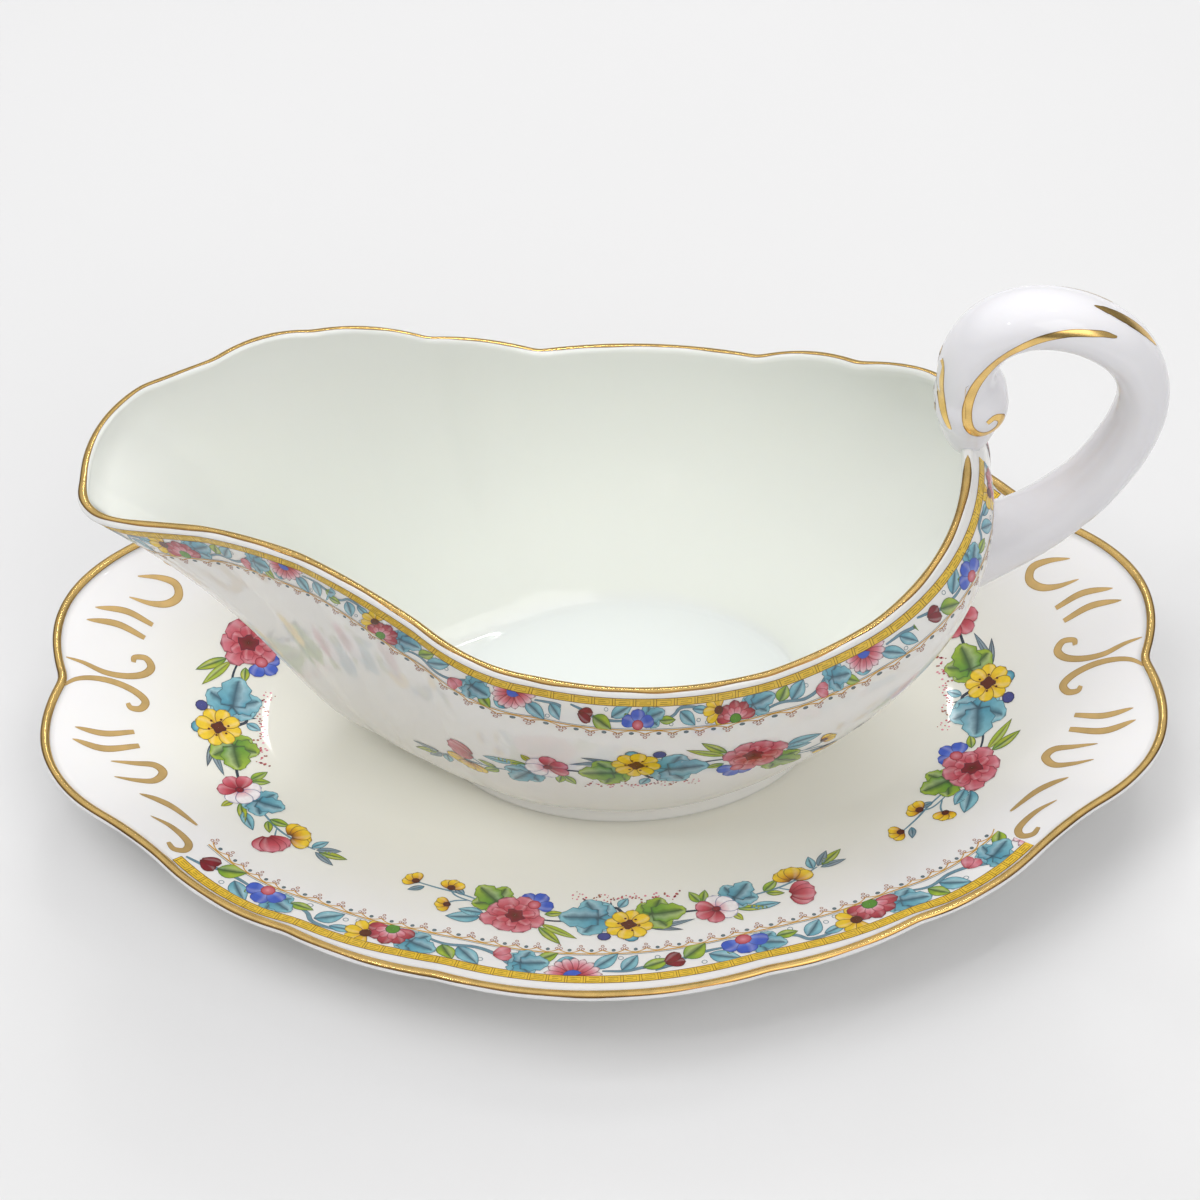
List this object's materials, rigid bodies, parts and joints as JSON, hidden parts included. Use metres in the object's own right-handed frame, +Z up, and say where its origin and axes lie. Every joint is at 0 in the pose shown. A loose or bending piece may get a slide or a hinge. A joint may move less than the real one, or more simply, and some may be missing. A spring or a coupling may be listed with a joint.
{
  "type": "gravy boat",
  "caption": "China gravy boat with a long pouring lip and a high scrolled loop handle, standing on a loose oval dish with lobed lugs at its ends.",
  "frame": {"origin": "centre of the stand's foot ring, on the plane that the foot rests on", "axes": "+Z up, +X towards the handle along the length of boat and stand, +Y to the far side"},
  "size_m": [0.2298, 0.1626, 0.127],
  "materials": {
    "stand_china": "clear glaze over ivory china, printed flower sprays and border, gilded rim and strokes",
    "boat_china": "clear glaze over white china, printed flower border and spray, gilded lip",
    "handle_china": "clear glaze over white china, gilded strokes",
    "gilding": "burnished gold on the glaze",
    "printed_enamel": "transfer-printed enamel colours under a gloss"
  },
  "bodies": {
    "stand": {"stand_dish": "stand_china"},
    "boat": {"boat_bowl": "boat_china", "boat_handle": "handle_china"}
  },
  "joints": [
    {"name": "boat_lift", "type": "slide", "parent": "stand", "child": "boat", "axis": [0, 0, 1], "range_m": [0, 0.12]}
  ]
}
